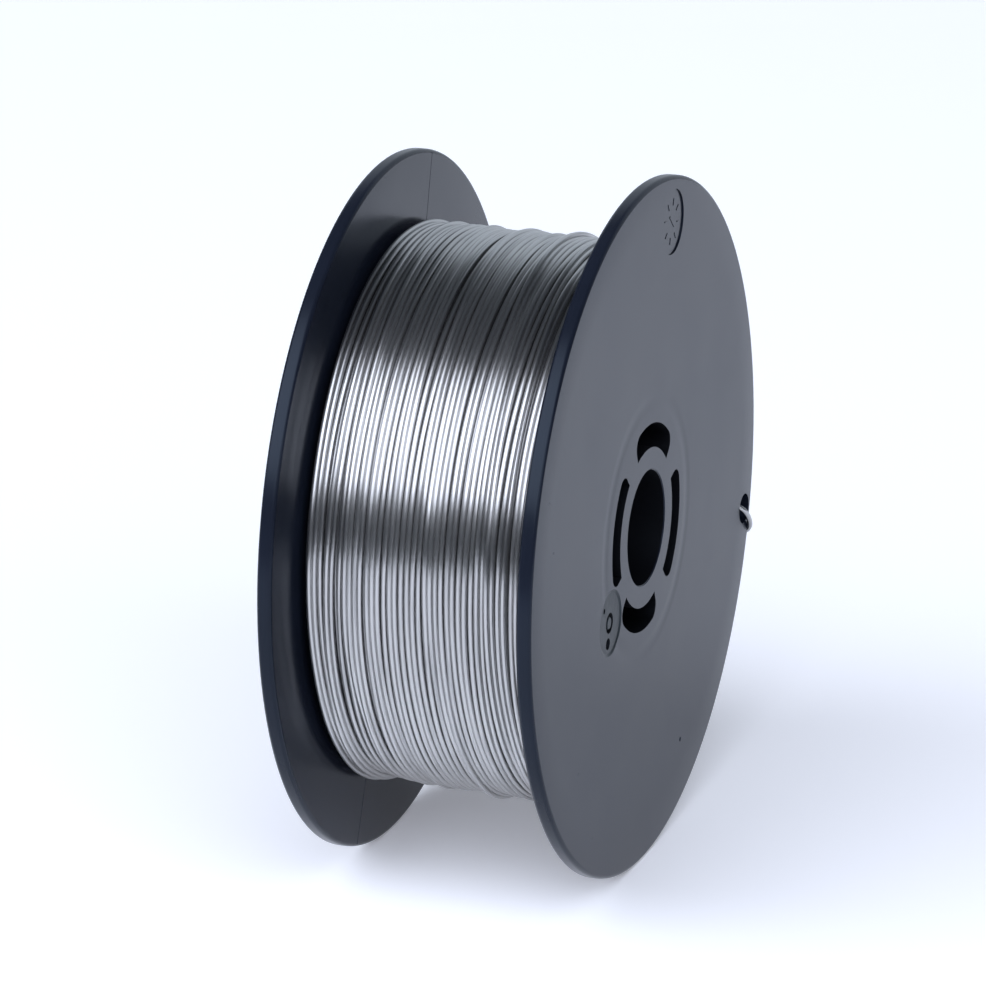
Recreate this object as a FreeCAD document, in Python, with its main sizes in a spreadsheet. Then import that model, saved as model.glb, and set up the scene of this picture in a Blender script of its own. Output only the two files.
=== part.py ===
import FreeCAD, Part
import math
import os
import Sketcher

# A small spool of welding wire, standing on the rims of its two flanges.
# Millimetres, +Z up.  The origin is the centre of the bore at mid-width, and the bore's axis is Y.
# The front flange, with the wire's fixing hole and the round mould marks, faces -Y.
# The spool is one moulding, and the wire is one length, wound on its drum.

Vector = FreeCAD.Vector
Constraint = Sketcher.Constraint

doc = FreeCAD.newDocument("welding_wire_spool")


# Driving dimensions

SIZES = [
    ("flange_diameter", 100.0),
    ("spool_width", 40.0),
    ("rim_thickness", 2.2),
    ("root_thickness", 3.0),
    ("rim_round", 0.65),
    ("drum_diameter", 36.0),
    ("drum_wall", 3.0),
    ("bore_diameter", 16.5),
    ("bore_lead", 0.5),
    ("tube_wall", 3.25),
    ("web_count", 4),
    ("web_angle", 24.0),
    ("slot_corner_share", 0.69),
    ("standing_turn", 15.0),
    ("wire_hole_diameter", 4.4),
    ("wire_hole_inset", 3.2),
    ("gate_recess_diameter", 9.6),
    ("gate_recess_depth", 0.5),
    ("gate_nub_diameter", 1.8),
    ("gate_nub_height", 0.35),
    ("mark_diameter", 9.4),
    ("mark_depth", 0.4),
    ("mark_inset", 6.6),
    ("winding_diameter", 80.0),
    ("winding_front_gap", 0.15),
    ("winding_back_gap", 0.9),
    ("groove_width", 1.1),
    ("groove_depth", 0.7),
    ("wire_diameter", 0.8),
    ("wire_clearance", 0.12),
    ("wire_bend", 1.1),
    ("take_off_angle", 20.0),
    ("take_off_depth", 0.7),
    ("hole_slack", 0.27),
    ("hole_side", 0.3),
    ("tail_slant", 2.9),
    ("tuck_slant", 0.9),
    ("tuck_depth", 0.6),
    ("tail_length", 3.4),
    ("tail_drift", 0.9),
]

sheet = doc.addObject("Spreadsheet::Sheet", "sizes")
for row, (alias, value) in enumerate(SIZES, start=1):
    sheet.set(f"A{row}", alias)
    sheet.set(f"B{row}", str(value))
    sheet.setAlias(f"B{row}", alias)
doc.recompute()


def size(alias):
    return float(sheet.get(alias))


# Sketches and features

def new_sketch(body, name, role):
    """A sketch on one of the body's own origin planes."""
    sketch = body.newObject("Sketcher::SketchObject", name)
    plane = next(item for item in body.Origin.OriginFeatures if item.Role == role)
    sketch.AttachmentSupport = [(plane, "")]
    sketch.MapMode = "FlatFace"
    return sketch


def front_sketch(body, name, direction, depth="0"):
    """A sketch on the front face, or under it, whose own X axis points in the given direction."""
    sketch = new_sketch(body, name, "XZ_Plane")
    sketch.setExpression(".AttachmentOffset.Base.z", f"sizes.spool_width / 2 - {depth}")
    sketch.setExpression(".AttachmentOffset.Rotation.Angle", f"{direction} - sizes.standing_turn")
    return sketch


def section_sketch(body, name):
    """A sketch of half a turned section, on a plane through the bore's axis that is turned with the spool."""
    sketch = new_sketch(body, name, "XY_Plane")
    sketch.AttachmentOffset = FreeCAD.Placement(Vector(), FreeCAD.Rotation(Vector(0, 1, 0), size("standing_turn")))
    sketch.setExpression(".AttachmentOffset.Rotation.Angle", "sizes.standing_turn")
    return sketch


def outlined(sketch, corners):
    """Draws a closed outline of lines through its corners and ties every corner to the sheet.

    A corner is a name, its radius, the side of mid-width that it is on, and its distance from mid-width,
    with both sizes as formulas of the sheet's values.
    """
    points = []
    for name, radius, side, distance in corners:
        points.append(Vector(sketch.evalExpression(radius), side * sketch.evalExpression(distance), 0))
    lines = []
    for start, end in zip(points, points[1:] + points[:1]):
        lines.append(sketch.addGeometry(Part.LineSegment(start, end), False))
    for line, following in zip(lines, lines[1:] + lines[:1]):
        sketch.addConstraint(Constraint("Coincident", line, 2, following, 1))
    for line, point, (name, radius, side, distance) in zip(lines, points, corners):
        along = (line, 1, -1, 1) if side < 0 else (-1, 1, line, 1)
        drive(sketch, [
            ("DistanceX", (-1, 1, line, 1), f"{name}_radius", point.x, radius),
            ("DistanceY", along, f"{name}_distance", abs(point.y), distance),
        ])


def drive(sketch, dimensions):
    """Adds named dimensions, each given as kind, references, name, first value and formula."""
    for kind, references, name, value, formula in dimensions:
        number = sketch.addConstraint(Constraint(kind, *references, value))
        sketch.renameConstraint(number, name)
    for kind, references, name, value, formula in dimensions:
        sketch.setExpression(f"Constraints.{name}", formula)


def turned(body, name, profile):
    """Turns a profile, drawn as radius and Y, a full turn about the Y axis."""
    feature = body.newObject("PartDesign::Revolution", name)
    feature.Profile = profile
    feature.ReferenceAxis = (profile, ["V_Axis"])
    feature.Angle = 360.0
    body.Tip = feature
    return feature


def pocket(body, name, profile, length):
    feature = body.newObject("PartDesign::Pocket", name)
    feature.Profile = profile
    feature.Type = "Length"
    feature.setExpression("Length", length)
    body.Tip = feature
    return feature


def dressed(body, name, kind, amount, formula, wanted):
    """Rounds or chamfers every edge of the body so far that the test picks."""
    doc.recompute()
    base = body.Tip
    edges = [f"Edge{number}" for number, edge in enumerate(base.Shape.Edges, start=1) if wanted(edge)]
    if not edges:
        raise RuntimeError(f"{name} found no edge")
    feature = body.newObject(kind, name)
    feature.Base = (base, edges)
    feature.setExpression(amount, formula)
    body.Tip = feature
    return feature


def is_round(edge, radius):
    """True for a full circle about the bore's axis with this radius."""
    curve = edge.Curve
    return (isinstance(curve, Part.Circle) and abs(curve.Radius - radius) < 0.001
            and math.hypot(curve.Center.x, curve.Center.z) < 0.001)


def is_lengthwise(edge, radius):
    """True for a straight edge along the spool at this distance from the bore's axis."""
    start, end = edge.Vertexes[0].Point, edge.Vertexes[-1].Point
    along = abs(end.x - start.x) < 0.001 and abs(end.z - start.z) < 0.001
    return along and abs(math.hypot(start.x, start.z) - radius) < 0.001


# The spool: flanges, drum and hub tube in one turned section, the same at both ends

bore_radius = size("bore_diameter") / 2
drum_radius = size("drum_diameter") / 2
flange_radius = size("flange_diameter") / 2
half_width = size("spool_width") / 2

BORE = "sizes.bore_diameter / 2"
DRUM = "sizes.drum_diameter / 2"
RIM = "sizes.flange_diameter / 2"
FACE = "sizes.spool_width / 2"
RIM_INSIDE = f"{FACE} - sizes.rim_thickness"
ROOT = f"{FACE} - sizes.root_thickness"
STEP = "(1 - cos(45 deg)) * sizes.rim_round"

spool = doc.addObject("PartDesign::Body", "Spool")
spool.Label = "spool"

flange_outline = [
    ("bore", BORE, FACE),
    ("face_edge", f"{RIM} - sizes.rim_round", FACE),
    ("face_bevel", f"{RIM} - {STEP}", f"{FACE} - {STEP}"),
    ("rim_outside", RIM, f"{FACE} - sizes.rim_round"),
    ("rim_inside", RIM, f"{RIM_INSIDE} + sizes.rim_round"),
    ("inner_edge", f"{RIM} - sizes.rim_round", RIM_INSIDE),
    ("drum_end", DRUM, ROOT),
]
front_corners = [(f"front_{name}", radius, -1, distance) for name, radius, distance in flange_outline]
back_corners = [(f"back_{name}", radius, 1, distance) for name, radius, distance in flange_outline]

section = section_sketch(spool, "SpoolSection")
outlined(section, front_corners + back_corners[::-1])
turned(spool, "SpoolTurned", section)


# The four curved slots that core out the hub, and the webs that they leave

slot_inner = bore_radius + size("tube_wall")
slot_outer = drum_radius - size("drum_wall")
slot_half = math.radians(180 / size("web_count") - size("web_angle") / 2)
half_angle = "(180 deg / sizes.web_count - sizes.web_angle / 2 * 1 deg)"
inner_formula = f"({BORE} + sizes.tube_wall)"
outer_formula = f"({DRUM} - sizes.drum_wall)"
corner_formula = f"sizes.slot_corner_share * ({outer_formula} - {inner_formula})"


def slot_arc(sketch, radius, name, formula):
    """An arc about the bore's axis, across the top of the hub."""
    circle = Part.Circle(Vector(0, 0, 0), Vector(0, 0, 1), radius)
    arc = Part.ArcOfCircle(circle, math.pi / 2 - slot_half, math.pi / 2 + slot_half)
    number = sketch.addGeometry(arc, False)
    sketch.addConstraint(Constraint("Coincident", number, 3, -1, 1))
    reach = radius * math.sin(slot_half)
    drive(sketch, [
        ("Radius", (number,), f"{name}_radius", radius, formula),
        ("DistanceX", (-1, 1, number, 1), f"{name}_right", reach, f"{formula} * sin({half_angle})"),
        ("DistanceX", (number, 2, -1, 1), f"{name}_left", reach, f"{formula} * sin({half_angle})"),
    ])
    return number, arc


slot = front_sketch(spool, "SlotOutline", "0")
inner_arc, inner_curve = slot_arc(slot, slot_inner, "inner", inner_formula)
outer_arc, outer_curve = slot_arc(slot, slot_outer, "outer", outer_formula)
right_side = slot.addGeometry(Part.LineSegment(inner_curve.StartPoint, outer_curve.StartPoint), False)
left_side = slot.addGeometry(Part.LineSegment(inner_curve.EndPoint, outer_curve.EndPoint), False)
for side, end in ((right_side, 1), (left_side, 2)):
    slot.addConstraint(Constraint("Coincident", side, 1, inner_arc, end))
    slot.addConstraint(Constraint("Coincident", side, 2, outer_arc, end))
slot_pocket = pocket(spool, "SlotPocket", slot, "sizes.spool_width")
doc.recompute()

slots = spool.newObject("PartDesign::PolarPattern", "Slots")
slots.Originals = [slot_pocket]
slots.Axis = (slot, ["N_Axis"])
slots.Angle = 360.0
slots.setExpression("Occurrences", "sizes.web_count")
spool.Tip = slots

dressed(spool, "SlotCorners", "PartDesign::Fillet", "Radius", corner_formula,
        lambda edge: is_lengthwise(edge, slot_outer))


# Round features of the front flange, each at its own distance and direction from the bore

TO_WIRE_HOLE = "0"
TO_MARK = "90"
TO_GATE_WEB = "(90 + 540 / sizes.web_count)"
WIRE_HOLE_OUT = f"{RIM} - sizes.wire_hole_inset"
MARK_OUT = f"{RIM} - sizes.mark_inset"


def spot(body, name, direction, offset, diameter, depth="0"):
    """A circle on the front face, its offset along a direction from the bore given as a formula."""
    sketch = front_sketch(body, name, direction, depth)
    out = float(sketch.evalExpression(offset))
    circle = sketch.addGeometry(Part.Circle(Vector(out, 0, 0), Vector(0, 0, 1), size(diameter) / 2), False)
    sketch.addConstraint(Constraint("PointOnObject", circle, 3, -1))
    drive(sketch, [
        ("DistanceX", (-1, 1, circle, 3), "offset", out, offset),
        ("Diameter", (circle,), "diameter", size(diameter), f"sizes.{diameter}"),
    ])
    return sketch


hole = spot(spool, "WireHole", TO_WIRE_HOLE, WIRE_HOLE_OUT, "wire_hole_diameter")
pocket(spool, "WireHolePocket", hole, "2 * sizes.root_thickness")

gate = spot(spool, "GateRecess", TO_GATE_WEB, DRUM, "gate_recess_diameter")
pocket(spool, "GateRecessPocket", gate, "sizes.gate_recess_depth")

nub = spot(spool, "GateNub", TO_GATE_WEB, DRUM, "gate_nub_diameter", "sizes.gate_recess_depth")
nub_pad = spool.newObject("PartDesign::Pad", "GateNubPad")
nub_pad.Profile = nub
nub_pad.setExpression("Length", "sizes.gate_nub_height")
spool.Tip = nub_pad

mark = spot(spool, "MouldMark", TO_MARK, MARK_OUT, "mark_diameter")
pocket(spool, "MouldMarkPocket", mark, "sizes.mark_depth")


# A lead into each end of the bore

dressed(spool, "BoreLeads", "PartDesign::Chamfer", "Size", "sizes.bore_lead",
        lambda edge: is_round(edge, bore_radius))


# The winding: one turned solid on the drum, its outer layer in bands of turns with a groove between them

BAND_TURNS = [5, 6, 11, 7, 10]
COIL = "sizes.winding_diameter / 2"
GROOVE = f"{COIL} - sizes.groove_depth"
COIL_FRONT = f"{ROOT} - sizes.winding_front_gap"
COIL_BACK = f"{ROOT} - sizes.winding_back_gap"


def on_coil(sketch, name, radius, share, shift):
    """A corner of the winding's outline, near a share of the way from its front end to its back end."""
    along = f"({share:.4f} * ({COIL_FRONT} + {COIL_BACK}) - ({COIL_FRONT}) + {shift})"
    if sketch.evalExpression(along) < 0:
        return name, radius, -1, f"-1 * {along}"
    return name, radius, 1, along


def groove_corners(sketch):
    """The three corners of the groove after every band but the last, from the front flange."""
    corners = []
    turns_before = 0
    for number, turns in enumerate(BAND_TURNS[:-1], start=1):
        turns_before += turns
        share = turns_before / sum(BAND_TURNS)
        corners.append(on_coil(sketch, f"groove{number}_near", COIL, share, "-1 * sizes.groove_width / 2"))
        corners.append(on_coil(sketch, f"groove{number}_floor", GROOVE, share, "0"))
        corners.append(on_coil(sketch, f"groove{number}_far", COIL, share, "sizes.groove_width / 2"))
    return corners


coil = doc.addObject("PartDesign::Body", "Winding")
coil_section = section_sketch(coil, "WindingSection")
outlined(coil_section, [
    ("front_inside", DRUM, -1, COIL_FRONT),
    ("front_outside", COIL, -1, COIL_FRONT),
    *groove_corners(coil_section),
    ("back_outside", COIL, 1, COIL_BACK),
    ("back_inside", DRUM, 1, COIL_BACK),
])
turned(coil, "WindingTurned", coil_section)


# The wire's end: it leaves the winding, comes out through the hole and hooks over the rim

def beside_hole(outward, sideways, along):
    """A point measured outward and sideways from the bore's axis, in the wire hole's direction."""
    turn = math.radians(-size("standing_turn"))
    return Vector(outward * math.cos(turn) - sideways * math.sin(turn), along,
                  outward * math.sin(turn) + sideways * math.cos(turn))


def bent_path(points, bend):
    """Straight runs joined by tangent arcs of one bend radius."""
    edges = []
    start = points[0]
    for before, corner, after in zip(points, points[1:], points[2:]):
        back = (before - corner).normalize()
        ahead = (after - corner).normalize()
        half = back.getAngle(ahead) / 2
        setback = bend / math.tan(half)
        middle = (back + ahead).normalize() * (bend / math.sin(half) - bend)
        arc_start = corner + back * setback
        arc_end = corner + ahead * setback
        edges.append(Part.LineSegment(start, arc_start).toShape())
        edges.append(Part.Arc(arc_start, corner + middle, arc_end).toShape())
        start = arc_end
    edges.append(Part.LineSegment(start, points[-1]).toShape())
    return Part.Wire(edges)


def inside_face(radius):
    """Y of the front flange's inner face, which slopes from its root to the rim."""
    share = (flange_radius - radius) / (flange_radius - drum_radius)
    return front_in + (root_in - front_in) * share


front_in = -half_width + size("rim_thickness")
root_in = -half_width + size("root_thickness")
coil_front = root_in + size("winding_front_gap")
coil_radius = size("winding_diameter") / 2
wire_radius = size("wire_diameter") / 2
stand_off = wire_radius + size("wire_clearance")
hole_edge = flange_radius - size("wire_hole_inset") - size("wire_hole_diameter") / 2
entry = hole_edge + stand_off + size("hole_slack")
entry_side = size("hole_side")
rim_side = entry_side - size("tail_slant")
tuck_side = rim_side - size("tuck_slant")
over_rim = flange_radius + stand_off
outer_run = -half_width - stand_off
tucked = inside_face(over_rim) + stand_off + size("tuck_depth")
lay_radius = coil_radius - size("take_off_depth")
take_off = math.radians(size("take_off_angle"))

tail_points = [
    beside_hole(lay_radius * math.cos(take_off), lay_radius * math.sin(take_off), coil_front + stand_off),
    beside_hole(entry, entry_side, inside_face(entry) + stand_off),
    beside_hole(entry, entry_side, outer_run),
    beside_hole(over_rim, rim_side, outer_run),
    beside_hole(over_rim, tuck_side, tucked),
    beside_hole(over_rim - size("tail_length"), tuck_side - size("tail_drift"), tucked),
]
tail_path = bent_path(tail_points, size("wire_bend"))
tail_disc = Part.Circle(tail_points[0], tail_points[1] - tail_points[0], wire_radius)
tail = doc.addObject("Part::Feature", "WireEnd")
tail.Shape = tail_path.makePipeShell([Part.Wire(tail_disc.toShape())], True, True)

wire = doc.addObject("Part::Fuse", "WeldingWire")
wire.Label = "welding_wire"
wire.Base = coil
wire.Tool = tail


# Check every object, then write each piece

doc.recompute()
for item in doc.Objects:
    if "Invalid" in item.State or "Error" in item.State:
        raise RuntimeError(f"{item.Name} failed: {item.State}")

os.makedirs("parts", exist_ok=True)
for piece in (spool, wire):
    shape = piece.Shape
    if shape.isNull() or not shape.isValid() or len(shape.Solids) != 1:
        raise RuntimeError(f"{piece.Label} is not one sound solid")
    shape.exportStep(f"parts/{piece.Label}.step")
    print(piece.Label, round(shape.Volume, 1), "cubic mm,", len(shape.Faces), "faces,", shape.BoundBox)
print("shared volume", round(spool.Shape.common(wire.Shape).Volume, 4))
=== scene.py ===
import math

import bmesh
import bpy
import numpy as np
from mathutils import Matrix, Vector


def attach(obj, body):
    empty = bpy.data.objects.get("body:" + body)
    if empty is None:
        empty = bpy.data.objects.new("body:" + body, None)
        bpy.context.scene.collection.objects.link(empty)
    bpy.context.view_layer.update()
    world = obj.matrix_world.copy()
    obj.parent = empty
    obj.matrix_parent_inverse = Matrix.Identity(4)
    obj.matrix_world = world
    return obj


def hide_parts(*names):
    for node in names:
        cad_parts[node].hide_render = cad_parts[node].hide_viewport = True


# The looks of a small spool of welding wire.  The bore's axis is Y and +Z is up.  The front flange,
# with the wire's hole, faces -Y, and the camera looks from -X.  Sizes of the object are written in
# millimetres and angles in degrees, and MM turns the sizes into Blender's metres.

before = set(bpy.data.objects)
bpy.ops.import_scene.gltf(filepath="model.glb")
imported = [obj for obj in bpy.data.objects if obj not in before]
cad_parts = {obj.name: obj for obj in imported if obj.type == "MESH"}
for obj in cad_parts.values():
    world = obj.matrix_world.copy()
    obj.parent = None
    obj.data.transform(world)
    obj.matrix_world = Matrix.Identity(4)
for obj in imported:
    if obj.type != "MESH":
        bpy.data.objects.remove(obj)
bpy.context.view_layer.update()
scene = bpy.context.scene

MM = 0.001
FULL_TURN = 2 * math.pi


# Sizes of the spool

FLANGE_RADIUS = 50.0
HALF_WIDTH = 20.0
RIM_THICKNESS = 2.2
ROOT_THICKNESS = 3.0
RIM_ROUND = 0.65
DRUM_RADIUS = 18.0
BORE_RADIUS = 8.25
BORE_LEAD = 0.15
SINK_RADIUS = 18.2
SINK_HALF_WIDTH = 1.7
SINK_DEPTH = 0.035
SLOT_COUNT = 4
SLOT_INNER = 11.5
SLOT_OUTER = 15.0
SLOT_HALF_ANGLE = 34.5
SLOT_CORNER = 1.9
STANDING_TURN = 15.0

# Directions on the spool are counted before its standing turn: 0 is +X and 90 is +Z.
HOLE_DIRECTION = 0
HOLE_OFFSET = 46.8
HOLE_RADIUS = 2.2
GATE_DIRECTION = 225
GATE_OFFSET = 18.0
GATE_RADIUS = 4.8
GATE_DEPTH = 0.18
GATE_SLOPE = 0.4
PIT_DEPTH = 0.4
PIT_SLOPE = 0.3
NUB_RADIUS = 0.9
NUB_HEIGHT = 0.4
NUB_EDGE = 0.12
SPECK_DIRECTION = 308
SPECK_OFFSET = 40.9
SPECK_RADIUS = 0.35
SPECK_FLOOR_RADIUS = 0.2
SPECK_DEPTH = 0.2
MARK_DIRECTION = 90
MARK_OFFSET = 43.4
MARK_RADIUS = 4.7
MARK_DEPTH = 0.2
STROKE_COUNT = 8
STROKE_START = 2.3
STROKE_END = 3.3
STROKE_HALF_WIDTH = 0.14
STROKE_HEIGHT = 0.07
STROKE_EDGE = 0.05
BAR_TURN = 60
BAR_REACH = 1.3
BAR_HALF_WIDTH = 0.2
PARTING_DIRECTIONS = (86, 266)
PARTING_START = 30
PARTING_END = FLANGE_RADIUS - 0.4
PARTING_BACK_HALF_WIDTH = 0.12
PARTING_BACK_HEIGHT = 0.025
PARTING_FRONT_HALF_WIDTH = 0.1
PARTING_FRONT_HEIGHT = 0.035

# Places of the pits in the gate's recess, outward and sideways from its middle, and their radius
GATE_PITS = ((0.0, 0.0, 1.6), (2.0, 2.2, 0.95), (0.7, -3.3, 0.5))

# How far cutters reach through the spool, and how deep raised marks are set into what carries them
THROUGH = 30
BETWEEN_FLANGES = -10
EMBEDDED = 0.1

# Fineness of the spool's mesh
SPOOL_SEGMENTS = 240
RIM_STEPS = 10
SINK_STEPS = 9
SLOT_STEPS = 25
CORNER_STEPS = 13
HOLE_STEPS = 48
RECESS_STEPS = 64
PIT_STEPS = 32
SPECK_STEPS = 16
PARTING_STEPS = 6
FACE_RINGS = (26.0, 32.0, 38.0, 44.0)
SMOOTH_UP_TO = 14


# Sizes of the wire and its winding

WIRE_DIAMETER = 0.8
WINDING_RADIUS = 40.0
WINDING_FRONT = -16.85
WINDING_BACK = 16.1
BAND_TURNS = [5, 6, 11, 7, 10]
BAND_INSET = 0.04
TOP_LOOSENESS = 0.35
TOP_DRIFT = 0.12
TOP_BEND = 0.115
TOP_BEND_STEPS = 36
UNDER_TURNS = 38
UNDER_INSET = 0.1
UNDER_LOOSENESS = 1.5
UNDER_DRIFT = 0.04
UNDER_BEND = 0.03
UNDER_BEND_STEPS = 60

# Least distance of two turns of one layer, a little under the wire's diameter to look pressed together
BESIDE = 0.92 * WIRE_DIAMETER

# The radius on which the layer below the top one rests, and that of the plain core under it
UNDER_FLOOR_RADIUS = WINDING_RADIUS - WIRE_DIAMETER / 2 - 0.87
CORE_RADIUS = 37.6

# Fineness of the winding.  The top layer's tube is a little thick, so that touching turns meet.
WINDING_SEED = 11
STEPS = 180
SMOOTHING_STEPS = 15
TOP_TUBE_RADIUS = 0.52 * WIRE_DIAMETER
TOP_SIDES = 10
UNDER_SIDES = 6
CORE_SEGMENTS = 120
END_SIDES = 12


# Camera, with its distance and clipping in metres

CAMERA_AZIMUTH = -70.62
CAMERA_ELEVATION = 19.35
CAMERA_DISTANCE = 1.3
CAMERA_LENS = 327.6
CAMERA_SENSOR = 36.0
CAMERA_NEAR = 0.05
CAMERA_FAR = 50.0
AIM_SIDEWAYS = -2.78
AIM_RISE = 1.22


def toward(azimuth, elevation):
    """A unit direction from the object: azimuth 0 is -Y, and it grows towards +X."""
    a = math.radians(azimuth)
    e = math.radians(elevation)
    return Vector((math.sin(a) * math.cos(e), -math.cos(a) * math.cos(e), math.sin(e)))


view = toward(CAMERA_AZIMUTH, CAMERA_ELEVATION)
side = Vector((0, 0, 1)).cross(view).normalized()
rise = view.cross(side)
aim = side * AIM_SIDEWAYS * MM + rise * AIM_RISE * MM

camera_data = bpy.data.cameras.new("camera")
camera_data.lens = CAMERA_LENS
camera_data.sensor_width = CAMERA_SENSOR
camera_data.clip_start = CAMERA_NEAR
camera_data.clip_end = CAMERA_FAR
camera = bpy.data.objects.new("camera", camera_data)
scene.collection.objects.link(camera)
camera.location = aim + view * CAMERA_DISTANCE
camera.rotation_euler = view.to_track_quat("Z", "Y").to_euler()
scene.camera = camera
scene.view_settings.view_transform = "Standard"


# Mesh helpers

def new_object(name, mesh):
    item = bpy.data.objects.new(name, mesh)
    scene.collection.objects.link(item)
    return item


def mesh_from(name, points, faces):
    mesh = bpy.data.meshes.new(name)
    mesh.from_pydata([tuple(p) for p in points], [], faces)
    mesh.validate()
    return mesh


def outward_faces(mesh):
    """Turns every face of a closed mesh outward."""
    work = bmesh.new()
    work.from_mesh(mesh)
    bmesh.ops.recalc_face_normals(work, faces=work.faces)
    work.to_mesh(mesh)
    work.free()


def stack_of_rings(name, rings):
    """A closed solid through rings of X, Y and Z in millimetres, which all have as many points."""
    count = len(rings[0])
    last = (len(rings) - 1) * count
    points = [(x * MM, y * MM, z * MM) for ring in rings for x, y, z in ring]
    faces = [tuple(range(count)), tuple(last + i for i in reversed(range(count)))]
    for start in range(0, last, count):
        for i in range(count):
            j = (i + 1) % count
            faces.append((start + i, start + j, start + count + j, start + count + i))
    mesh = mesh_from(name, points, faces)
    outward_faces(mesh)
    return new_object(name, mesh)


def lathe(name, section, segments):
    """A turned solid about Y, from a closed section of radius and Y in millimetres.

    The first ring stands half a step round, so that no edge falls on the ends of a slot.
    """
    points = []
    for i in range(segments):
        a = FULL_TURN * (i + 0.5) / segments
        points += [(r * math.cos(a) * MM, y * MM, r * math.sin(a) * MM) for r, y in section]
    count = len(section)
    faces = []
    for i in range(segments):
        j = (i + 1) % segments
        for k in range(count):
            m = (k + 1) % count
            faces.append((i * count + k, i * count + m, j * count + m, j * count + k))
    mesh = mesh_from(name, points, faces)
    outward_faces(mesh)
    return new_object(name, mesh)


def remove_object(item):
    mesh = item.data
    bpy.data.objects.remove(item)
    bpy.data.meshes.remove(mesh)


def cut(item, tool):
    """Cuts the tool out of the item and deletes the tool."""
    modifier = item.modifiers.new("cut", "BOOLEAN")
    modifier.operation = "DIFFERENCE"
    modifier.solver = "EXACT"
    modifier.object = tool
    bpy.context.view_layer.update()
    graph = bpy.context.evaluated_depsgraph_get()
    mesh = bpy.data.meshes.new_from_object(item.evaluated_get(graph))
    old = item.data
    item.modifiers.clear()
    item.data = mesh
    bpy.data.meshes.remove(old)
    remove_object(tool)


def join_into(item, others):
    """Joins the meshes of the others into the item and deletes the others."""
    work = bmesh.new()
    work.from_mesh(item.data)
    for other in others:
        work.from_mesh(other.data)
        remove_object(other)
    work.to_mesh(item.data)
    work.free()


def shade_by_angle(item, degrees):
    """Shades smooth over edges that bend by less than the angle."""
    bpy.context.view_layer.objects.active = item
    item.select_set(True)
    bpy.ops.object.shade_smooth_by_angle(angle=math.radians(degrees))
    item.select_set(False)


def tube_from_rings(name, rings, runs):
    """A closed tube through rings of points in metres, which turn right-handed about its run.

    Its UV map has the length along the tube, which runs gives for each ring, and the turn around it.
    """
    count = len(rings)
    sides = len(rings[0])
    faces = []
    uvs = []
    for i in range(count - 1):
        for s in range(sides):
            t = (s + 1) % sides
            faces.append((i * sides + s, i * sides + t, (i + 1) * sides + t, (i + 1) * sides + s))
            low = s / sides
            high = (s + 1) / sides
            uvs += [runs[i], low, runs[i], high, runs[i + 1], high, runs[i + 1], low]
    faces.append(tuple(reversed(range(sides))))
    faces.append(tuple((count - 1) * sides + s for s in range(sides)))
    uvs += [0.0, 0.0] * (2 * sides)
    mesh = bpy.data.meshes.new(name)
    mesh.from_pydata(np.asarray(rings, float).reshape(-1, 3).tolist(), [], faces)
    layer = mesh.uv_layers.new(name="along_wire")
    layer.data.foreach_set("uv", uvs)
    mesh.polygons.foreach_set("use_smooth", [len(p.vertices) == 4 for p in mesh.polygons])
    mesh.update()
    return new_object(name, mesh)


# The spool's moulding: one turned section, cut as the real mould cores it

def arc_points(centre, radius, angles):
    """Points of an arc at the given angles, in radians."""
    return [(centre[0] + radius * math.cos(a), centre[1] + radius * math.sin(a)) for a in angles]


def inner_face(radius):
    """Y of the back flange's inner face, which slopes from its root to the rim."""
    share = (FLANGE_RADIUS - radius) / (FLANGE_RADIUS - DRUM_RADIUS)
    return HALF_WIDTH - RIM_THICKNESS - (ROOT_THICKNESS - RIM_THICKNESS) * share


def front_inner_face(radius):
    """Y of the front flange's inner face."""
    return -inner_face(radius)


def spool_section():
    """The closed section as radius and Y, for the half at +Y and then its mirror image.

    The outer face sinks a little over the drum's wall, as thick places of a moulding do.
    """
    rim = FLANGE_RADIUS - RIM_ROUND
    outer_arc = np.radians(np.linspace(90, 0, RIM_STEPS))
    inner_arc = np.radians(np.linspace(0, -90, RIM_STEPS))
    half = [(BORE_RADIUS, HALF_WIDTH - BORE_LEAD), (BORE_RADIUS + BORE_LEAD, HALF_WIDTH)]
    for share in np.linspace(-1, 1, SINK_STEPS):
        sink = SINK_DEPTH * math.cos(share * math.pi / 2) ** 2
        half.append((SINK_RADIUS + SINK_HALF_WIDTH * share, HALF_WIDTH - sink))
    half += [(r, HALF_WIDTH) for r in FACE_RINGS]
    half += arc_points((rim, HALF_WIDTH - RIM_ROUND), RIM_ROUND, outer_arc)
    half += arc_points((rim, inner_face(rim) + RIM_ROUND), RIM_ROUND, inner_arc)
    half += [(r, inner_face(r)) for r in (*reversed(FACE_RINGS), DRUM_RADIUS)]
    return half + [(r, -y) for r, y in reversed(half)]


def own_place(direction, outward, sideways=0.0):
    """X and Z of a place on the spool, whose own directions stand turned by STANDING_TURN."""
    a = math.radians(direction - STANDING_TURN)
    x = outward * math.cos(a) - sideways * math.sin(a)
    z = outward * math.sin(a) + sideways * math.cos(a)
    return x, z


def ring_at(outline, y):
    """A closed outline of X and Z, set at one Y."""
    return [(x, y, z) for x, z in outline]


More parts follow.
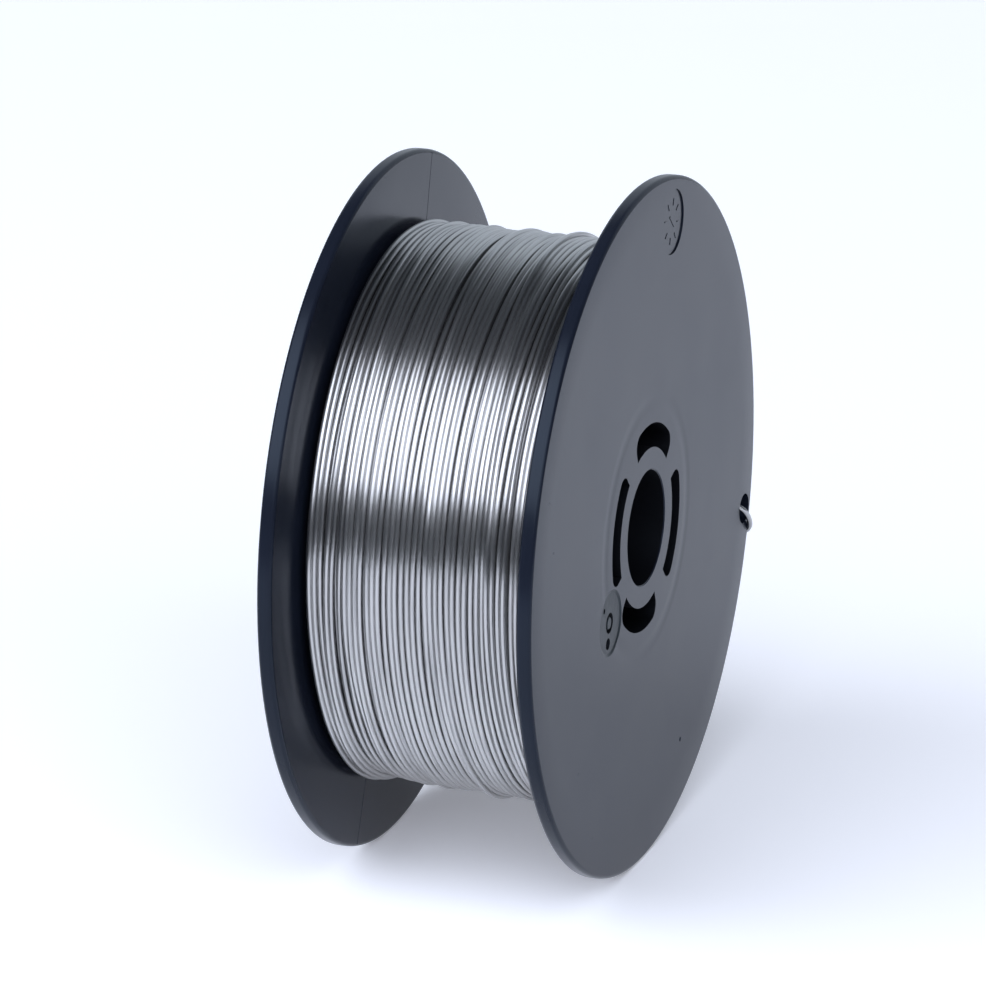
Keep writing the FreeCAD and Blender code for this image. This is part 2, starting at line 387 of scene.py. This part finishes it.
def slot_outline(direction):
    """A curved slot: sharp horns at the hub tube, rounded corners at the drum."""
    half = math.radians(SLOT_HALF_ANGLE)
    centre_radius = SLOT_OUTER - SLOT_CORNER
    corner = half - math.asin(SLOT_CORNER / centre_radius)
    corner_x = centre_radius * math.cos(corner)
    corner_z = centre_radius * math.sin(corner)
    horn = half + math.pi / 2
    outline = arc_points((0, 0), SLOT_INNER, np.linspace(-half, half, SLOT_STEPS))
    outline += arc_points((corner_x, corner_z), SLOT_CORNER, np.linspace(horn, corner, CORNER_STEPS))
    outline += arc_points((0, 0), SLOT_OUTER, np.linspace(corner, -corner, SLOT_STEPS)[1:-1])
    outline += arc_points((corner_x, -corner_z), SLOT_CORNER, np.linspace(-corner, -horn, CORNER_STEPS))
    return [own_place(direction, x, z) for x, z in outline]


def disc_outline(direction, offset, radius, count, sideways=0.0):
    """A circle round a place on the spool."""
    outline = []
    for t in np.arange(count) * FULL_TURN / count:
        outline.append(own_place(direction, offset + radius * math.cos(t), sideways + radius * math.sin(t)))
    return outline


def prism(name, outline, low, high):
    """A prism along Y through a closed outline of X and Z."""
    return stack_of_rings(name, [ring_at(outline, low), ring_at(outline, high)])


def tapered(name, direction, offset, sideways, radius, floor_radius, depth, count):
    """A round cutter for the front face that narrows from the face down to its floor."""
    mouth = disc_outline(direction, offset, radius + 2 * (radius - floor_radius), count, sideways)
    floor = disc_outline(direction, offset, floor_radius, count, sideways)
    rings = [ring_at(mouth, -HALF_WIDTH - 2 * depth), ring_at(floor, -HALF_WIDTH + depth)]
    return stack_of_rings(name, rings)


def raised_disc(name, direction, offset, radius, low, high, count):
    """A small round pad on the front face, its top edge broken."""
    rings = []
    for r, y in ((radius, low), (radius, high + NUB_EDGE), (radius - NUB_EDGE, high)):
        rings.append(ring_at(disc_outline(direction, offset, r, count), y))
    return stack_of_rings(name, rings)


def parting_line(name, direction, half_width, height, face):
    """A low ridge along a radius of a flange: face gives the Y of its foot at a radius."""
    rings = []
    for r in np.linspace(PARTING_START, PARTING_END, PARTING_STEPS):
        foot = face(r)
        lift = math.copysign(height, -foot)
        ring = []
        for sideways, y in ((-half_width, foot - lift), (0.0, foot + lift), (half_width, foot - lift)):
            x, z = own_place(direction, r, sideways)
            ring.append((x, y, z))
        rings.append(ring)
    return stack_of_rings(name, rings)


def mark_stroke(turned, start, end, half_width):
    """A plain raised stroke on the mark's floor, along a line through the mark's centre."""
    t = math.radians(turned)
    floor = -HALF_WIDTH + MARK_DEPTH
    rings = []
    for y, half in ((floor + EMBEDDED, half_width), (floor - STROKE_HEIGHT, half_width - STROKE_EDGE)):
        ring = []
        for along, across in ((start, -half), (end, -half), (end, half), (start, half)):
            outward = MARK_OFFSET + along * math.cos(t) - across * math.sin(t)
            x, z = own_place(MARK_DIRECTION, outward, along * math.sin(t) + across * math.cos(t))
            ring.append((x, y, z))
        rings.append(ring)
    return stack_of_rings("mark_stroke", rings)


def gate_cutters():
    """The cutters of the shallow recess at the gate and of the pits in its floor."""
    floor_radius = GATE_RADIUS - GATE_SLOPE
    yield tapered("gate_cutter", GATE_DIRECTION, GATE_OFFSET, 0,
                  GATE_RADIUS, floor_radius, GATE_DEPTH, RECESS_STEPS)
    for outward, sideways, radius in GATE_PITS:
        offset = GATE_OFFSET + outward
        depth = GATE_DEPTH + PIT_DEPTH
        yield tapered("pit_cutter", GATE_DIRECTION, offset, sideways,
                      radius, radius - PIT_SLOPE, depth, PIT_STEPS)


spool = lathe("spool_body", spool_section(), SPOOL_SEGMENTS)
for number in range(SLOT_COUNT):
    cut(spool, prism("slot_cutter", slot_outline(360 / SLOT_COUNT * number), -THROUGH, THROUGH))
hole_outline = disc_outline(HOLE_DIRECTION, HOLE_OFFSET, HOLE_RADIUS, HOLE_STEPS)
cut(spool, prism("hole_cutter", hole_outline, -THROUGH, BETWEEN_FLANGES))
for cutter in gate_cutters():
    cut(spool, cutter)
cut(spool, tapered("speck_cutter", SPECK_DIRECTION, SPECK_OFFSET, 0,
                   SPECK_RADIUS, SPECK_FLOOR_RADIUS, SPECK_DEPTH, SPECK_STEPS))
mark_outline = disc_outline(MARK_DIRECTION, MARK_OFFSET, MARK_RADIUS, RECESS_STEPS)
cut(spool, prism("mark_cutter", mark_outline, -THROUGH, -HALF_WIDTH + MARK_DEPTH))
shade_by_angle(spool, SMOOTH_UP_TO)

pit_floor = -HALF_WIDTH + GATE_DEPTH + PIT_DEPTH
extras = [raised_disc("gate_nub", GATE_DIRECTION, GATE_OFFSET, NUB_RADIUS,
                      pit_floor + EMBEDDED, pit_floor - NUB_HEIGHT, PIT_STEPS)]
for direction in PARTING_DIRECTIONS:
    extras.append(parting_line("parting_back", direction,
                               PARTING_BACK_HALF_WIDTH, PARTING_BACK_HEIGHT, inner_face))
    extras.append(parting_line("parting_front", direction,
                               PARTING_FRONT_HALF_WIDTH, PARTING_FRONT_HEIGHT, front_inner_face))
for stroke in range(STROKE_COUNT):
    extras.append(mark_stroke(360 / STROKE_COUNT * stroke, STROKE_START, STROKE_END, STROKE_HALF_WIDTH))
extras.append(mark_stroke(BAR_TURN, -BAR_REACH, BAR_REACH, BAR_HALF_WIDTH))
join_into(spool, extras)


# The winding: turns laid one after another, each resting on the ones below and beside it

rng = np.random.default_rng(WINDING_SEED)
ANGLES = np.arange(STEPS) * FULL_TURN / STEPS

# Waves of the sideways drift: how many round the spool, their length across it, and their weight
DRIFT_WAVES = ((1, 9.0, 1.0), (2, 6.5, 0.8), (3, 4.2, 0.6), (5, 3.1, 0.35))

# Waves of the floor under the two outer layers, and how it sinks low down towards the back flange
FLOOR_WAVE = 0.14
FLOOR_WAVE_LENGTH = 8.3
FLOOR_WAVE_START = 0.6
FLOOR_RIPPLE = 0.1
FLOOR_RIPPLE_LENGTH = 4.7
SINKING = 0.75
SINKING_FROM = 9.0
SINKING_OVER = 2.0


def wander(length, step, strength):
    """Smooth noise along the wire, one value for each sample, with a given distance between bends."""
    knots = rng.normal(0.0, strength, int(length / step) + 4)
    places = np.arange(length) / step
    low = places.astype(int)
    share = places - low
    share = share * share * (3 - 2 * share)
    return knots[low] * (1 - share) + knots[low + 1] * share


def shared_wander(y, strength):
    """A sideways drift that neighbouring turns follow together, as a smooth function of place and angle."""
    angle = np.tile(ANGLES, len(y) // STEPS)
    drift = np.zeros(len(y))
    for turn_count, wave, weight in DRIFT_WAVES:
        phase = rng.uniform(0, FULL_TURN)
        drift += weight * np.sin(turn_count * angle + FULL_TURN * y / wave + phase)
    return strength * drift


def scattered(start, end, turns, looseness):
    """Places of turns between two ends: most touch, and the room that is left opens a few gaps."""
    spare = end - start - WIRE_DIAMETER * (turns - 1)
    gaps = WIRE_DIAMETER + spare * rng.dirichlet([looseness] * (turns - 1))
    return start + np.concatenate([[0.0], np.cumsum(gaps)])


def traverse(places):
    """Y of every sample of a layer whose turns start at the given places."""
    steps = np.diff(places)
    steps = np.append(steps, steps[-1] * 0.5)
    advances = np.repeat(steps / STEPS, STEPS)
    return places[0] + np.cumsum(advances) - advances[0]


def floor_radius(y):
    """Radius under the two outer layers: it undulates across the width, and sinks low down at the back."""
    angle = np.tile(ANGLES, len(y) // STEPS)
    waves = (FLOOR_WAVE * np.sin(FULL_TURN * y / FLOOR_WAVE_LENGTH + FLOOR_WAVE_START)
             + FLOOR_RIPPLE * np.sin(FULL_TURN * y / FLOOR_RIPPLE_LENGTH + angle))
    low_down = 0.5 - 0.5 * np.sin(angle)
    toward_back = 1 / (1 + np.exp(-(y - SINKING_FROM) / SINKING_OVER))
    return UNDER_FLOOR_RADIUS + waves - SINKING * low_down * toward_back


def smoothed(radius):
    """The radius of every sample, averaged with its neighbours along the wire."""
    flat = radius.reshape(-1)
    kernel = np.hanning(SMOOTHING_STEPS)
    kernel /= kernel.sum()
    reach = SMOOTHING_STEPS // 2
    padded = np.concatenate([flat[:1].repeat(reach), flat, flat[-1:].repeat(reach)])
    return np.convolve(padded, kernel, "valid").reshape(radius.shape)


def lay(layer, below, floor):
    """Y and radius of every sample of a layer, one row for each turn.

    A turn rests on the floor, on the layers below, and on the last two turns of its own layer.
    """
    turns = len(layer) // STEPS
    y = layer.reshape(turns, STEPS)
    radius = np.array(floor).reshape(turns, STEPS)
    for k in range(turns):
        held = [radius[k]]
        for other_y, other_radius in below:
            rise = WIRE_DIAMETER ** 2 - (other_y - y[k]) ** 2
            over = np.where(rise > 0, other_radius + np.sqrt(np.maximum(rise, 0)), 0)
            held.append(over.max(axis=0))
        for j in range(max(0, k - 2), k):
            rise = BESIDE ** 2 - (y[j] - y[k]) ** 2
            held.append(np.where(rise > 0, radius[j] + np.sqrt(np.maximum(rise, 0)), 0))
        radius[k] = np.max(held, axis=0)
    return y, smoothed(radius)


def winding_tube(name, y, radius, tube_radius, sides):
    """The tube of a layer: each ring is built from the outward direction, so the rings never twist."""
    angle = np.tile(ANGLES, y.shape[0])
    r = radius.reshape(-1)
    rows = np.stack([r * np.cos(angle), y.reshape(-1), r * np.sin(angle)], axis=1)
    ahead = np.roll(rows, -1, axis=0) - np.roll(rows, 1, axis=0)
    ahead[0] = rows[1] - rows[0]
    ahead[-1] = rows[-1] - rows[-2]
    ahead /= np.linalg.norm(ahead, axis=1)[:, None]
    outward = rows * np.array([1.0, 0.0, 1.0])
    outward -= ahead * np.sum(outward * ahead, axis=1)[:, None]
    outward /= np.linalg.norm(outward, axis=1)[:, None]
    across = np.cross(ahead, outward)
    turn = np.arange(sides) * FULL_TURN / sides
    rings = (rows[:, None, :] + tube_radius * (np.cos(turn)[None, :, None] * outward[:, None, :]
                                               + np.sin(turn)[None, :, None] * across[:, None, :]))
    lengths = np.linalg.norm(np.diff(rows, axis=0), axis=1)
    runs = np.concatenate([[0.0], np.cumsum(lengths)]) * MM
    return tube_from_rings(name, rings * MM, runs)


def layer_below():
    """The layer under the top one, which is laid evenly on the floor."""
    first = WINDING_FRONT + WIRE_DIAMETER / 2 + UNDER_INSET
    last = WINDING_BACK - WIRE_DIAMETER / 2 - UNDER_INSET
    layer = traverse(scattered(first, last, UNDER_TURNS, UNDER_LOOSENESS))
    layer += shared_wander(layer, UNDER_DRIFT) + wander(len(layer), UNDER_BEND_STEPS, UNDER_BEND)
    return lay(layer, [], floor_radius(layer))


def top_layer(below):
    """The top layer: bands of turns with wider gaps between them, laid loosely on the layer below."""
    width = WINDING_BACK - WINDING_FRONT
    edges = np.cumsum([0] + BAND_TURNS) / sum(BAND_TURNS) * width + WINDING_FRONT
    last_band = len(BAND_TURNS) - 1
    places = []
    for band, turns in enumerate(BAND_TURNS):
        inset = WIRE_DIAMETER / 2 + (BAND_INSET if band > 0 else 0.0)
        outset = WIRE_DIAMETER / 2 + (BAND_INSET if band < last_band else 0.0)
        places.append(scattered(edges[band] + inset, edges[band + 1] - outset, turns, TOP_LOOSENESS))
    layer = traverse(np.concatenate(places))
    layer += shared_wander(layer, TOP_DRIFT) + wander(len(layer), TOP_BEND_STEPS, TOP_BEND)
    return lay(layer, [below], np.zeros(len(layer)))


under_y, under_radius = layer_below()
top_y, top_radius = top_layer((under_y, under_radius))
winding = winding_tube("winding_turns", top_y, top_radius, TOP_TUBE_RADIUS, TOP_SIDES)
winding_under = winding_tube("winding_layer_below", under_y, under_radius, WIRE_DIAMETER / 2, UNDER_SIDES)

core_section = [
    (DRUM_RADIUS, WINDING_FRONT),
    (CORE_RADIUS, WINDING_FRONT),
    (CORE_RADIUS, WINDING_BACK),
    (DRUM_RADIUS, WINDING_BACK),
]
core = lathe("winding_core", core_section, CORE_SEGMENTS)


# The wire's end: out through the hole, over the face and round the rim

# The wire leaves the winding at its first turn, 20 degrees round from the hole.  Its line keeps the
# stand-off from the plastic's surfaces.
STAND_OFF = WIRE_DIAMETER / 2 + 0.12
HOLE_ENTRY = HOLE_OFFSET - HOLE_RADIUS + STAND_OFF + 0.27
OUTER_RUN = -HALF_WIDTH - STAND_OFF
OVER_RIM = FLANGE_RADIUS + STAND_OFF
TUCKED = -HALF_WIDTH + RIM_THICKNESS + STAND_OFF + 0.6
TAKE_OFF_OUT = 39.3 * math.cos(math.radians(20))
TAKE_OFF_SIDE = 39.3 * math.sin(math.radians(20))


def beside_hole(outward, sideways, along):
    """A place given from the wire's hole: outward from the bore, sideways, and along Y."""
    x, z = own_place(HOLE_DIRECTION, outward, sideways)
    return (x, along, z)


def nurbs_line(points, resolution=14):
    """Points along a smooth spline that has the given points as its control points."""
    curve = bpy.data.curves.new("wire_end_line", "CURVE")
    curve.dimensions = "3D"
    curve.resolution_u = resolution
    spline = curve.splines.new("NURBS")
    spline.points.add(len(points) - 1)
    for point, place in zip(spline.points, points):
        point.co = (*place, 1.0)
    spline.order_u = 3
    spline.use_endpoint_u = True
    carrier = bpy.data.objects.new("wire_end_line", curve)
    scene.collection.objects.link(carrier)
    bpy.context.view_layer.update()
    mesh = bpy.data.meshes.new_from_object(carrier)
    line = [tuple(v.co) for v in mesh.vertices]
    bpy.data.objects.remove(carrier)
    bpy.data.curves.remove(curve)
    bpy.data.meshes.remove(mesh)
    return line


def free_tube(name, line, radius, sides):
    """A tube along any line, with its rings carried along without a twist."""
    rows = [Vector(p) for p in line]
    ahead = [(b - a).normalized() for a, b in zip(rows, rows[1:])]
    ahead.append(ahead[-1])
    across = ahead[0].orthogonal().normalized()
    run = 0.0
    runs = []
    rings = []
    for i, (place, direction) in enumerate(zip(rows, ahead)):
        across = (across - direction * across.dot(direction)).normalized()
        up = direction.cross(across)
        if i:
            run += (place - rows[i - 1]).length * MM
        runs.append(run)
        ring = []
        for s in range(sides):
            t = FULL_TURN * s / sides
            ring.append((place + (across * math.cos(t) + up * math.sin(t)) * radius) * MM)
        rings.append(ring)
    return tube_from_rings(name, rings, runs)


end_points = [
    beside_hole(TAKE_OFF_OUT, TAKE_OFF_SIDE, -16.33),
    beside_hole(HOLE_ENTRY, 0.3, -17.25),
    beside_hole(HOLE_ENTRY, 0.3, OUTER_RUN),
    beside_hole(OVER_RIM, -3.3, OUTER_RUN),
    beside_hole(OVER_RIM, -4.4, TUCKED),
    beside_hole(OVER_RIM - 3.4, -5.4, TUCKED),
]
wire_end = free_tube("wire_end", nurbs_line(end_points), WIRE_DIAMETER / 2, END_SIDES)


# Node helpers

def empty_tree(owner):
    """The node tree of a new material or world, with nothing in it."""
    owner.use_nodes = True
    owner.node_tree.nodes.clear()
    return owner.node_tree


def node(tree, kind, inputs=None, **settings):
    """A new node.  An input is a socket, which is linked, or a value."""
    item = tree.nodes.new(kind)
    for name, value in settings.items():
        setattr(item, name, value)
    for name, value in (inputs or {}).items():
        if isinstance(value, bpy.types.NodeSocket):
            tree.links.new(value, item.inputs[name])
        else:
            item.inputs[name].default_value = value
    return item


def calculated(tree, operation, *inputs):
    """The result of a Math node."""
    return node(tree, "ShaderNodeMath", dict(enumerate(inputs)), operation=operation).outputs[0]


def ramp(tree, factor, stops):
    """The colour of a ramp with stops of place and grey or colour."""
    item = node(tree, "ShaderNodeValToRGB", {"Fac": factor})
    elements = item.color_ramp.elements
    while len(elements) < len(stops):
        elements.new(0.5)
    for element, (place, colour) in zip(elements, stops):
        element.position = place
        rgb = (colour,) * 3 if isinstance(colour, (int, float)) else colour
        element.color = (*rgb, 1.0)
    return item.outputs["Color"]


def noise(tree, vector, scale, detail, roughness=0.5):
    settings = {"Vector": vector, "Scale": scale, "Detail": detail, "Roughness": roughness}
    return node(tree, "ShaderNodeTexNoise", settings).outputs["Fac"]


def blended(tree, factor, first, second):
    """The colour between two others, each a socket or a colour."""
    inputs = {"Factor": factor, 6: first, 7: second}
    return node(tree, "ShaderNodeMix", inputs, data_type="RGBA").outputs[2]


# Materials

SPECULAR_TINT = (0.7, 0.85, 1.0, 1.0)
BUMP_DISTANCE = 0.00005
SWELL_DISTANCE = 0.0002


def new_material(name):
    """A material with a Principled shader, as the material, its tree and the shader."""
    material = bpy.data.materials.new(name)
    tree = empty_tree(material)
    shader = node(tree, "ShaderNodeBsdfPrincipled")
    node(tree, "ShaderNodeOutputMaterial", {"Surface": shader.outputs["BSDF"]})
    return material, tree, shader


def plastic_material(name, cloudy_rough, gloss, tone, grain_strength=0.08):
    """Black moulded plastic: cloudy gloss, a fine grain and slow waves, as a large thin moulding has."""
    material, tree, shader = new_material(name)
    coordinates = node(tree, "ShaderNodeTexCoord").outputs["Object"]
    cloud = noise(tree, coordinates, 42.0, 5.0, 0.6)
    grain = noise(tree, coordinates, 1400.0, 2.0)
    swell = noise(tree, coordinates, 30.0, 0.0)
    dust = node(tree, "ShaderNodeTexVoronoi", {"Vector": coordinates, "Scale": 130.0})
    speck = ramp(tree, dust.outputs["Distance"], [(0.02, 0.12), (0.03, 0.0)])
    darker = tuple(0.8 * c for c in tone)
    lighter = tuple(1.2 * c for c in tone)
    colour = ramp(tree, cloud, [(0.3, darker), (0.7, lighter)])
    cloudy = ramp(tree, cloud, [(0.25, cloudy_rough[0]), (0.75, cloudy_rough[1])])
    waves = node(tree, "ShaderNodeBump", {"Height": swell, "Strength": 0.12, "Distance": SWELL_DISTANCE})
    bump = node(tree, "ShaderNodeBump", {"Height": grain, "Strength": grain_strength,
                                         "Distance": BUMP_DISTANCE, "Normal": waves.outputs["Normal"]})
    tree.links.new(colour, shader.inputs["Base Color"])
    tree.links.new(calculated(tree, "ADD", cloudy, speck), shader.inputs["Roughness"])
    tree.links.new(bump.outputs["Normal"], shader.inputs["Normal"])
    shader.inputs["IOR"].default_value = 1.5
    shader.inputs["Specular IOR Level"].default_value = gloss
    shader.inputs["Specular Tint"].default_value = SPECULAR_TINT
    return material


def steel_material(name, light, dark, rough_from, rough_to, spread):
    """Drawn steel wire: fine lines along the wire, and stretches that are a little duller."""
    material, tree, shader = new_material(name)
    uv = node(tree, "ShaderNodeUVMap", uv_map="along_wire").outputs["UV"]
    line_map = node(tree, "ShaderNodeMapping", {"Vector": uv, "Scale": (90.0, 9.0, 1.0)})
    lines = noise(tree, line_map.outputs["Vector"], 1.0, 3.0)
    stretch_map = node(tree, "ShaderNodeMapping", {"Vector": uv, "Scale": (28.0, 0.0, 1.0)})
    stretches = noise(tree, stretch_map.outputs["Vector"], 1.0, 2.0)
    mixed = calculated(tree, "ADD", lines, stretches)
    colour = ramp(tree, mixed, [(0.75, dark), (1.0, light)])
    rough = ramp(tree, mixed, [(0.75, rough_from), (1.0, rough_to)])
    bump = node(tree, "ShaderNodeBump", {"Height": lines, "Strength": 0.08, "Distance": BUMP_DISTANCE})
    along = node(tree, "ShaderNodeTangent", direction_type="UV_MAP", uv_map="along_wire")
    tree.links.new(colour, shader.inputs["Base Color"])
    tree.links.new(rough, shader.inputs["Roughness"])
    tree.links.new(bump.outputs["Normal"], shader.inputs["Normal"])
    tree.links.new(along.outputs["Tangent"], shader.inputs["Tangent"])
    shader.inputs["Anisotropic"].default_value = spread
    shader.inputs["Anisotropic Rotation"].default_value = 0.25
    shader.inputs["Metallic"].default_value = 1.0
    return material


plastic = plastic_material("black_plastic", cloudy_rough=(0.17, 0.27), gloss=0.2,
                           tone=(0.0085, 0.011, 0.019))
# The cored plastic is duller, and its near-black tone is painted shade for the walls of the slots and bore
# and for the gate's pits.
cored_plastic_painted_shade = plastic_material("black_plastic_cored_painted_shade", cloudy_rough=(0.5, 0.6), gloss=0.1,
                                 tone=(0.003, 0.003, 0.004))
gate_plastic = plastic_material("black_plastic_gate", cloudy_rough=(0.3, 0.5), gloss=0.3,
                                tone=(0.012, 0.016, 0.018), grain_strength=0.6)
steel = steel_material("drawn_steel", light=(0.53, 0.53, 0.53), dark=(0.405, 0.407, 0.412),
                       rough_from=0.37, rough_to=0.28, spread=0.82)
# The layer below and the core use a darker copy of the same steel: painted shade under the top layer.
steel_below_painted_shade = steel_material("drawn_steel_below_painted_shade", light=(0.36, 0.36, 0.365), dark=(0.24, 0.24, 0.245),
                             rough_from=0.4, rough_to=0.3, spread=0.6)
steel_end = steel_material("drawn_steel_end", light=(0.46, 0.46, 0.46), dark=(0.38, 0.38, 0.385),
                           rough_from=0.20, rough_to=0.15, spread=0.0)


# The pieces get their materials, ride on the part's one body and replace the plain solids

MAIN_PLASTIC = 0
CORED_PLASTIC_PAINTED_SHADE = 1
GATE_PLASTIC = 2

# A wall's normal turns away from Y by more than this, and a face is sunk from this depth to that one.
WALL_NORMAL = 0.5
WALL_MARGIN = 0.3
SUNK_FROM = 0.05
SUNK_TO = 1.0
PIT_MARGIN = 0.1


def moulding_finish(face):
    """Which plastic a face of the spool has: cored walls and pits are duller, and a much darker tone paints
    the shade in these hollows; the gate is grainy.
    """
    place = face.center
    gate_x, gate_z = own_place(GATE_DIRECTION, GATE_OFFSET)
    near_bore = math.hypot(place.x, place.z) < (SLOT_OUTER + WALL_MARGIN) * MM
    at_gate = math.hypot(place.x - gate_x * MM, place.z - gate_z * MM) < GATE_RADIUS * MM
    sunk = -HALF_WIDTH * MM < place.y - SUNK_FROM * MM < (-HALF_WIDTH + SUNK_TO) * MM
    # Walls of the slots and bore get the cored plastic, whose dark tone paints their shade.
    if near_bore and abs(face.normal.y) < WALL_NORMAL:
        return CORED_PLASTIC_PAINTED_SHADE
    if at_gate and sunk:
        in_pit = place.y > (-HALF_WIDTH + GATE_DEPTH + PIT_MARGIN) * MM
        return CORED_PLASTIC_PAINTED_SHADE if in_pit else GATE_PLASTIC
    return MAIN_PLASTIC


def finish_piece(item, slot, *materials):
    item.data.materials.clear()
    for material in materials:
        item.data.materials.append(material)
    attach(item, "root")


finish_piece(spool, "spool_plastic", plastic, cored_plastic_painted_shade, gate_plastic)
for face in spool.data.polygons:
    face.material_index = moulding_finish(face)
finish_piece(winding, "wire_steel", steel)
finish_piece(wire_end, "wire_steel", steel_end)
# The darker steel of the layer below and the core paints their shade under the top layer.
finish_piece(winding_under, "wire_steel", steel_below_painted_shade)
finish_piece(core, "wire_steel", steel_below_painted_shade)
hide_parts("spool")
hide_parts("welding_wire")
for cad_node, material in (("spool", plastic), ("welding_wire", steel)):
    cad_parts[cad_node].data.materials.clear()
    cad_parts[cad_node].data.materials.append(material)


# Floor: a white paint that keeps the shadow, lifted a little where a ray sees it as background

# Half the floor's width, in metres
FLOOR_REACH = 0.5
FLOOR_SIDES = 96
FLOOR_PAINT = (0.95, 0.96, 0.98, 1.0)
FLOOR_GLOW = (0.18, 0.18, 0.20, 1.0)


def any_ray(tree, first, *others):
    """1 for a ray of any of the kinds that the Light Path node names, and 0 for any other."""
    path = node(tree, "ShaderNodeLightPath")
    seen = path.outputs[first]
    for kind in others:
        seen = calculated(tree, "MAXIMUM", seen, path.outputs[kind])
    return seen


floor_points = [(FLOOR_REACH * math.cos(a), FLOOR_REACH * math.sin(a), -FLANGE_RADIUS * MM)
                for a in np.linspace(0, FULL_TURN, FLOOR_SIDES, endpoint=False)]
floor = new_object("floor", mesh_from("floor", floor_points, [tuple(range(FLOOR_SIDES))]))
floor_material = bpy.data.materials.new("white_floor")
tree = empty_tree(floor_material)
seen = any_ray(tree, "Is Camera Ray", "Is Glossy Ray", "Is Transmission Ray")
paint = node(tree, "ShaderNodeBsdfDiffuse", {"Color": FLOOR_PAINT})
glow = node(tree, "ShaderNodeEmission", {"Color": FLOOR_GLOW, "Strength": seen})
both = node(tree, "ShaderNodeAddShader", {0: paint.outputs[0], 1: glow.outputs[0]})
node(tree, "ShaderNodeOutputMaterial", {"Surface": both.outputs[0]})
floor.data.materials.append(floor_material)


# World: a bright backdrop behind, dark above, and a dark room low down on the camera's side

WHITE = (1.0, 1.0, 1.0, 1.0)
LOW_ROOM = (0.08, 0.09, 0.105)
PANEL = (1.42, 1.53, 1.76)
PANEL_ASIDE = (1.32, 1.43, 1.64)
OVERHEAD = (0.075, 0.085, 0.10)
OVERHEAD_ASIDE = (0.03, 0.035, 0.04)
BACKDROP_ASIDE = (0.15, 0.16, 0.18)

# A place is the share of a turn about Y: 0 at the horizon behind, then under the floor, 0.5 at the
# camera's horizon, 0.75 overhead and 1 behind again.
SKY = [
    (0.0, (0.56, 0.62, 0.70)),
    (0.30, (0.25, 0.27, 0.30)),
    (0.46, LOW_ROOM),
    (0.555, LOW_ROOM),
    (0.572, PANEL),
    (0.668, PANEL),
    (0.712, OVERHEAD),
    (0.875, OVERHEAD),
    (0.905, (0.56, 0.63, 0.71)),
    (1.0, (0.58, 0.64, 0.73)),
]

# Far to the left and right of the camera the same sky is darker overhead and behind.
SKY_ASIDE = [
    (0.0, BACKDROP_ASIDE),
    (0.46, LOW_ROOM),
    (0.555, LOW_ROOM),
    (0.572, PANEL_ASIDE),
    (0.668, PANEL_ASIDE),
    (0.712, OVERHEAD_ASIDE),
    (0.88, OVERHEAD_ASIDE),
    (1.0, BACKDROP_ASIDE),
]

world = bpy.data.worlds.new("studio")
scene.world = world
tree = empty_tree(world)
direction = node(tree, "ShaderNodeTexCoord").outputs["Generated"]
parts = node(tree, "ShaderNodeSeparateXYZ", {"Vector": direction}).outputs
toward_camera = calculated(tree, "MULTIPLY", parts["X"], -1.0)
angle = calculated(tree, "ARCTAN2", parts["Z"], toward_camera)
share = calculated(tree, "MULTIPLY_ADD", angle, 1 / FULL_TURN, 0.5)
aside = ramp(tree, calculated(tree, "ABSOLUTE", parts["Y"]), [(0.5, 0.0), (0.8, 1.0)])
studio = blended(tree, aside, ramp(tree, share, SKY), ramp(tree, share, SKY_ASIDE))
behind = any_ray(tree, "Is Camera Ray", "Is Transmission Ray")
light = node(tree, "ShaderNodeBackground", {"Color": blended(tree, behind, studio, WHITE), "Strength": 1.0})
node(tree, "ShaderNodeOutputWorld", {"Surface": light.outputs[0]})


# Lamp

LAMP_COLOUR = (0.94, 0.975, 1.10)


def softbox(name, azimuth, elevation, distance, width, height, power):
    """A rectangular lamp that faces the object, with its sizes in metres and its power in watts."""
    data = bpy.data.lights.new(name, "AREA")
    data.shape = "RECTANGLE"
    data.size = width
    data.size_y = height
    data.energy = power
    data.color = LAMP_COLOUR
    lamp = bpy.data.objects.new(name, data)
    scene.collection.objects.link(lamp)
    from_object = toward(azimuth, elevation)
    lamp.location = from_object * distance
    lamp.rotation_euler = from_object.to_track_quat("Z", "Y").to_euler()


softbox("key_softbox", azimuth=-100, elevation=47.5, distance=1.25, width=3.0, height=1.24, power=20.7)
